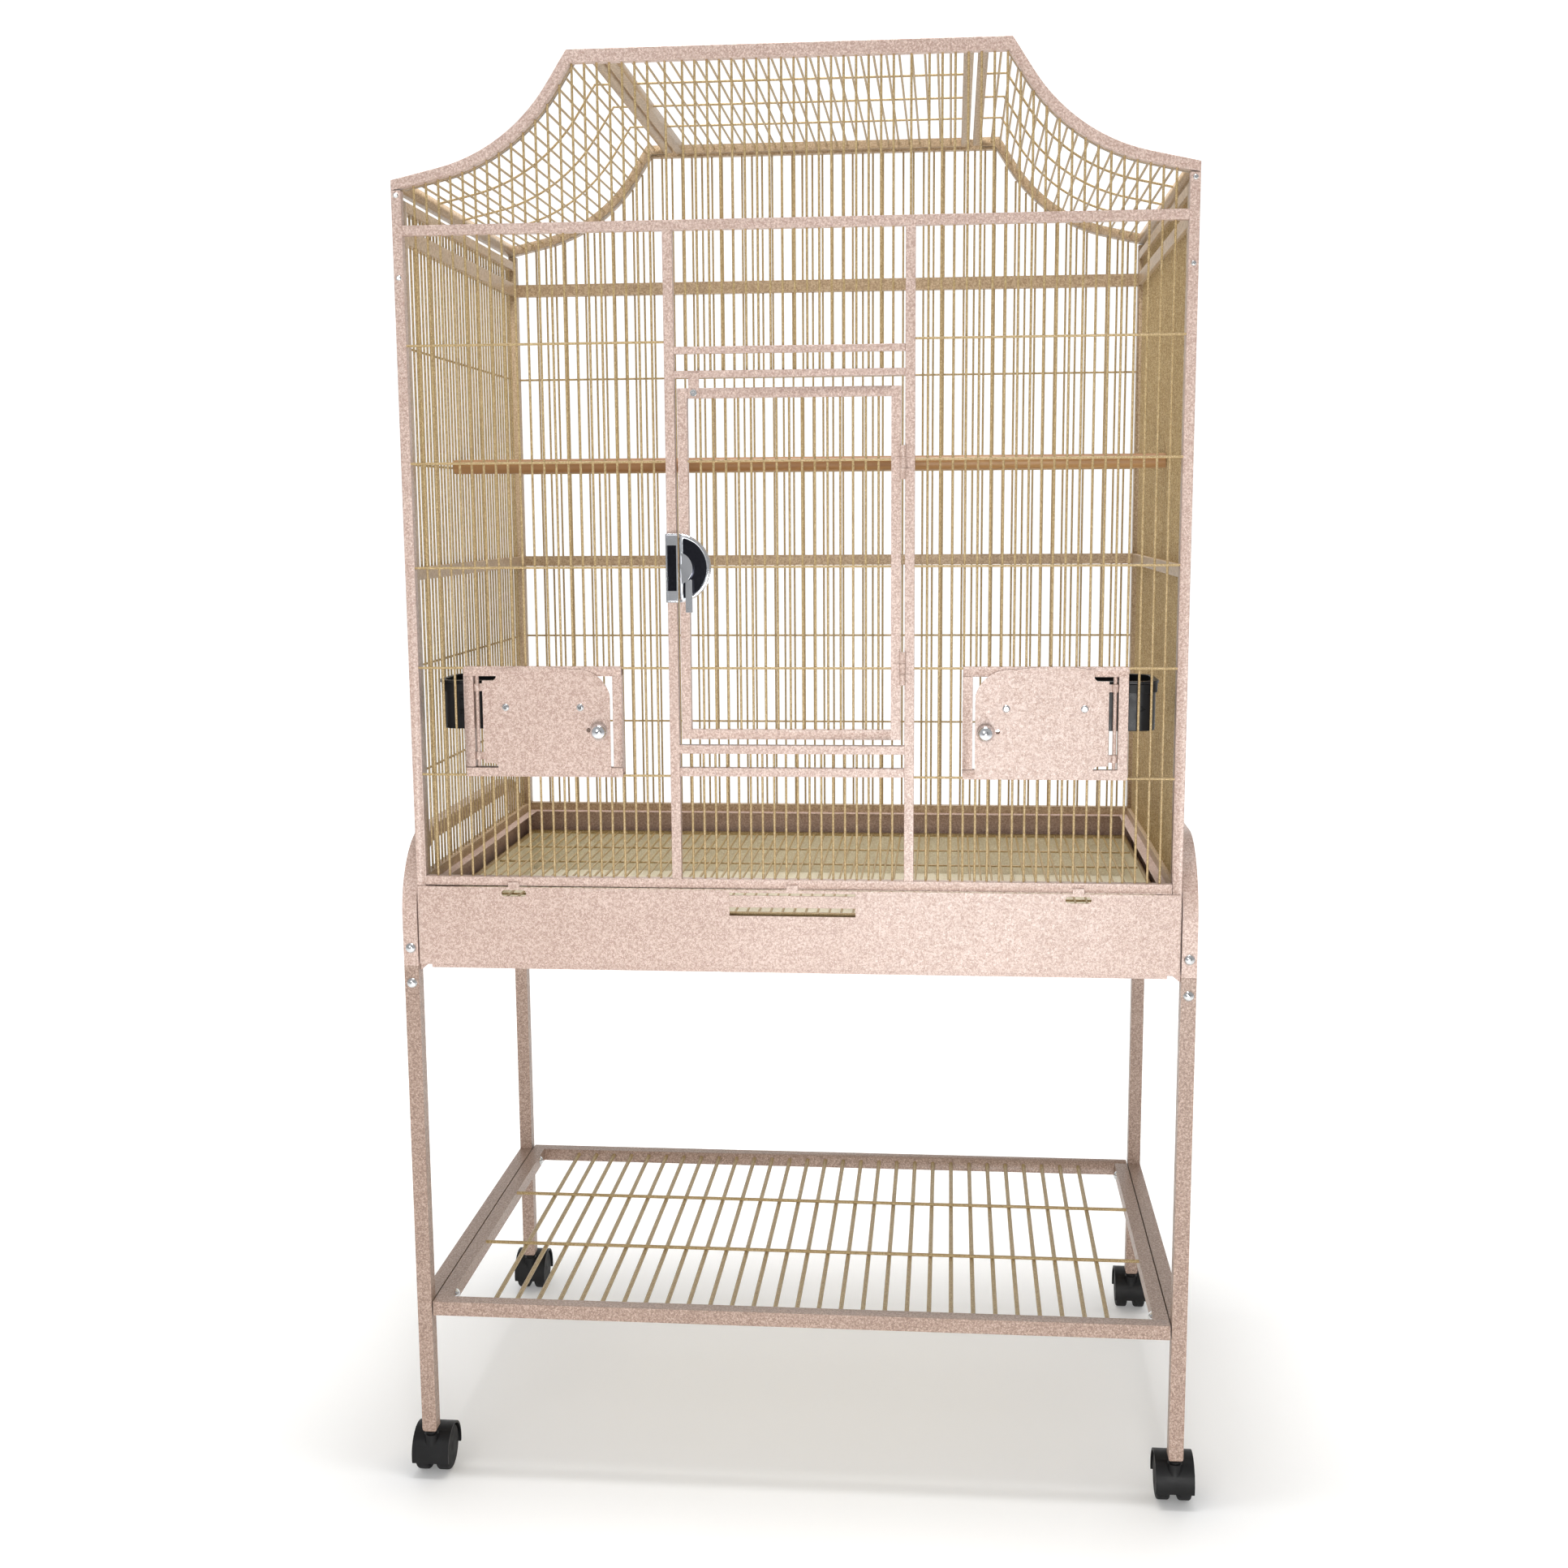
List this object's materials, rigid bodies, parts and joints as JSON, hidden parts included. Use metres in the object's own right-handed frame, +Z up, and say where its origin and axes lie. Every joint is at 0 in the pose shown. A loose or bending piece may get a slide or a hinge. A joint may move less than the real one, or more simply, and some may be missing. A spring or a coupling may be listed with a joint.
{
  "type": "bird cage on stand",
  "caption": "Tall powder-coated wire bird cage with a flat-topped swept roof, a front door, swing-out feeder doors and a pull-out tray, on a rolling stand with a wire shelf.",
  "frame": {"origin": "on the floor, at the middle of the whole object's box", "axes": "+Z up, -Y the front with the door and feeders, +X to the right seen from the front"},
  "size_m": [0.874, 0.5642, 1.542],
  "materials": {
    "sandstone_paint": "speckled sandstone powder coat, slightly rough",
    "tray_paint": "smooth olive-brown coat, semi-matte",
    "chrome": "bright plated",
    "steel": "zinc-plated, dull",
    "black_plastic": "fine-grained black, satin",
    "black_rubber": "hard black nylon tread",
    "perch_wood": "oiled golden hardwood"
  },
  "bodies": {
    "cage_and_stand": {"front_frame": "sandstone_paint", "front_bars": "sandstone_paint", "front_roof_band": "sandstone_paint", "back_roof_band": "sandstone_paint", "back_frame": "sandstone_paint", "back_bars": "sandstone_paint", "left_frame": "sandstone_paint", "left_bars": "sandstone_paint", "right_frame": "sandstone_paint", "right_bars": "sandstone_paint", "roof_left_frame": "sandstone_paint", "roof_left_bars": "sandstone_paint", "roof_right_frame": "sandstone_paint", "roof_right_bars": "sandstone_paint", "roof_center_frame": "sandstone_paint", "roof_center_bars": "sandstone_paint", "door_hinge_brackets": "sandstone_paint", "base_housing": "sandstone_paint", "stand_arch_left": "sandstone_paint", "stand_arch_right": "sandstone_paint", "side_ties": "sandstone_paint", "shelf_frame": "sandstone_paint", "shelf_bars": "sandstone_paint", "corner_gussets": "sandstone_paint", "leg_front_left": "sandstone_paint", "leg_front_right": "sandstone_paint", "leg_back_left": "sandstone_paint", "leg_back_right": "sandstone_paint", "latch_keeper": "chrome", "stand_bolts": "steel", "panel_screws": "steel", "stem_sockets": "black_plastic", "perch": "perch_wood"},
    "door": {"door_frame": "sandstone_paint", "door_bars": "sandstone_paint", "door_hinge_leaves": "sandstone_paint", "latch_plate": "chrome", "turn_button_screw": "steel"},
    "latch_lever": {"latch_lever": "chrome"},
    "turn_button": {"turn_button": "sandstone_paint"},
    "drawer": {"drawer_front": "sandstone_paint", "drawer_grip": "sandstone_paint", "tray": "tray_paint", "floor_grille": "tray_paint"},
    "feeder_door_left": {"feeder_door_left": "sandstone_paint", "cup_ring_left": "sandstone_paint"},
    "feeder_knob_left": {"feeder_knob_left": "chrome"},
    "feed_cup_left": {"feed_cup_left": "black_plastic"},
    "feeder_door_right": {"feeder_door_right": "sandstone_paint", "cup_ring_right": "sandstone_paint"},
    "feeder_knob_right": {"feeder_knob_right": "chrome"},
    "feed_cup_right": {"feed_cup_right": "black_plastic"},
    "caster_front_left": {"caster_hood_front_left": "black_plastic"},
    "wheels_front_left": {"caster_wheels_front_left": "black_rubber"},
    "caster_front_right": {"caster_hood_front_right": "black_plastic"},
    "wheels_front_right": {"caster_wheels_front_right": "black_rubber"},
    "caster_back_left": {"caster_hood_back_left": "black_plastic"},
    "wheels_back_left": {"caster_wheels_back_left": "black_rubber"},
    "caster_back_right": {"caster_hood_back_right": "black_plastic"},
    "wheels_back_right": {"caster_wheels_back_right": "black_rubber"}
  },
  "joints": [
    {"name": "door_hinge", "type": "hinge", "parent": "cage_and_stand", "child": "door", "pos_m": [0.116, -0.2681, 1.028], "axis": [0, 0, 1], "range_deg": [0, 150]},
    {"name": "latch_turn", "type": "hinge", "parent": "door", "child": "latch_lever", "pos_m": [-0.11, -0.2646, 1.026], "axis": [0, 1, 0], "range_deg": [0, 90]},
    {"name": "button_turn", "type": "hinge", "parent": "door", "child": "turn_button", "pos_m": [-0.0975, -0.2646, 1.2035], "axis": [0, 1, 0], "range_deg": [0, 90]},
    {"name": "drawer_slide", "type": "slide", "parent": "cage_and_stand", "child": "drawer", "axis": [0, -1, 0], "range_m": [0, 0.42]},
    {"name": "feeder_hinge_left", "type": "hinge", "parent": "cage_and_stand", "child": "feeder_door_left", "pos_m": [-0.334, -0.2611, 0.865], "axis": [0, 0, 1], "range_deg": [-110, 0]},
    {"name": "feeder_knob_turn_left", "type": "hinge", "parent": "feeder_door_left", "child": "feeder_knob_left", "pos_m": [-0.202, -0.2646, 0.8555], "axis": [0, 1, 0], "range_deg": [-180, 0]},
    {"name": "feed_cup_lift_left", "type": "slide", "parent": "feeder_door_left", "child": "feed_cup_left", "axis": [0, 0, 1], "range_m": [0, 0.055]},
    {"name": "feeder_hinge_right", "type": "hinge", "parent": "cage_and_stand", "child": "feeder_door_right", "pos_m": [0.334, -0.2611, 0.865], "axis": [0, 0, -1], "range_deg": [-110, 0]},
    {"name": "feeder_knob_turn_right", "type": "hinge", "parent": "feeder_door_right", "child": "feeder_knob_right", "pos_m": [0.202, -0.2646, 0.8555], "axis": [0, 1, 0], "range_deg": [0, 180]},
    {"name": "feed_cup_lift_right", "type": "slide", "parent": "feeder_door_right", "child": "feed_cup_right", "axis": [0, 0, 1], "range_m": [0, 0.055]},
    {"name": "caster_swivel_front_left", "type": "hinge", "parent": "cage_and_stand", "child": "caster_front_left", "pos_m": [-0.416, -0.2566, 0.06], "axis": [0, 0, 1], "continuous": true},
    {"name": "wheel_spin_front_left", "type": "hinge", "parent": "caster_front_left", "child": "wheels_front_left", "pos_m": [-0.416, -0.2386, 0.025], "axis": [1, 0, 0], "continuous": true},
    {"name": "caster_swivel_front_right", "type": "hinge", "parent": "cage_and_stand", "child": "caster_front_right", "pos_m": [0.416, -0.2566, 0.06], "axis": [0, 0, 1], "continuous": true},
    {"name": "wheel_spin_front_right", "type": "hinge", "parent": "caster_front_right", "child": "wheels_front_right", "pos_m": [0.416, -0.2386, 0.025], "axis": [1, 0, 0], "continuous": true},
    {"name": "caster_swivel_back_left", "type": "hinge", "parent": "cage_and_stand", "child": "caster_back_left", "pos_m": [-0.416, 0.2354, 0.06], "axis": [0, 0, 1], "continuous": true},
    {"name": "wheel_spin_back_left", "type": "hinge", "parent": "caster_back_left", "child": "wheels_back_left", "pos_m": [-0.416, 0.2534, 0.025], "axis": [1, 0, 0], "continuous": true},
    {"name": "caster_swivel_back_right", "type": "hinge", "parent": "cage_and_stand", "child": "caster_back_right", "pos_m": [0.416, 0.2354, 0.06], "axis": [0, 0, 1], "continuous": true},
    {"name": "wheel_spin_back_right", "type": "hinge", "parent": "caster_back_right", "child": "wheels_back_right", "pos_m": [0.416, 0.2534, 0.025], "axis": [1, 0, 0], "continuous": true}
  ]
}
